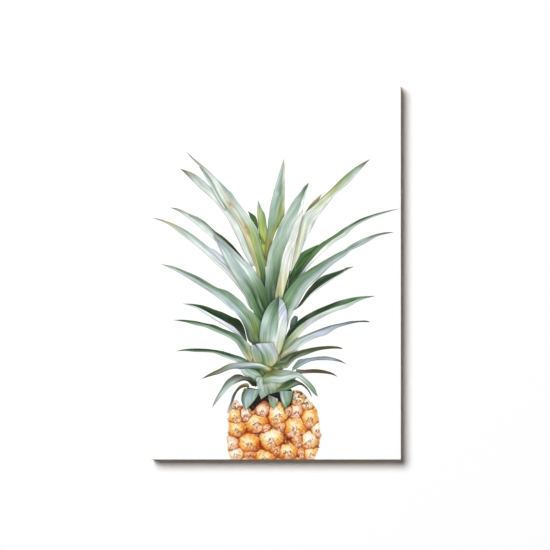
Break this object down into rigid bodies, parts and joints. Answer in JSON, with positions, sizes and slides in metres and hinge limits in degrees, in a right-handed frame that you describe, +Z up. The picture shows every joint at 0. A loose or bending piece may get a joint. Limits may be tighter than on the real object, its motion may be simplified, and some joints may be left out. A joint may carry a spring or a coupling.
{
  "type": "stretched canvas print",
  "caption": "Upright rectangular canvas picture of a pineapple, wrapped and stapled over a keyed wooden stretcher frame with a cross brace, wall pads and a sawtooth hanger.",
  "frame": {"origin": "the hanging point: the top of the sawtooth hanger's centre notch, projected onto the wall's plane", "axes": "+Z up the wall, +X to the viewer's right, +Y into the wall, so the picture faces -Y"},
  "size_m": [0.4, 0.0231, 0.6],
  "materials": {
    "printed_canvas": "primed cotton weave, matt, printed",
    "pine": "planed, bare",
    "beech": "sawn, bare",
    "staple_steel": "zinc plated wire",
    "brassed_steel": "brass plated, bright",
    "rubber": "matt, black"
  },
  "bodies": {
    "root": {"canvas_print": "printed_canvas", "centre_brace": "pine", "bar_top": "pine", "bar_right": "pine", "bar_bottom": "pine", "bar_left": "pine", "key_top_1": "beech", "key_top_2": "beech", "key_right_1": "beech", "key_right_2": "beech", "key_bottom_1": "beech", "key_bottom_2": "beech", "key_left_1": "beech", "key_left_2": "beech", "staple_top_01": "staple_steel", "staple_top_02": "staple_steel", "staple_top_03": "staple_steel", "staple_top_04": "staple_steel", "staple_top_05": "staple_steel", "staple_top_06": "staple_steel", "staple_top_07": "staple_steel", "staple_right_01": "staple_steel", "staple_right_02": "staple_steel", "staple_right_03": "staple_steel", "staple_right_04": "staple_steel", "staple_right_05": "staple_steel", "staple_right_06": "staple_steel", "staple_right_07": "staple_steel", "staple_right_08": "staple_steel", "staple_right_09": "staple_steel", "staple_right_10": "staple_steel", "staple_bottom_01": "staple_steel", "staple_bottom_02": "staple_steel", "staple_bottom_03": "staple_steel", "staple_bottom_04": "staple_steel", "staple_bottom_05": "staple_steel", "staple_bottom_06": "staple_steel", "staple_bottom_07": "staple_steel", "staple_left_01": "staple_steel", "staple_left_02": "staple_steel", "staple_left_03": "staple_steel", "staple_left_04": "staple_steel", "staple_left_05": "staple_steel", "staple_left_06": "staple_steel", "staple_left_07": "staple_steel", "staple_left_08": "staple_steel", "staple_left_09": "staple_steel", "staple_left_10": "staple_steel", "sawtooth_hanger": "brassed_steel", "hanger_nail_left": "brassed_steel", "hanger_nail_right": "brassed_steel", "wall_pad_top_left": "rubber", "wall_pad_top_right": "rubber", "wall_pad_bottom_left": "rubber", "wall_pad_bottom_right": "rubber"}
  },
  "joints": []
}
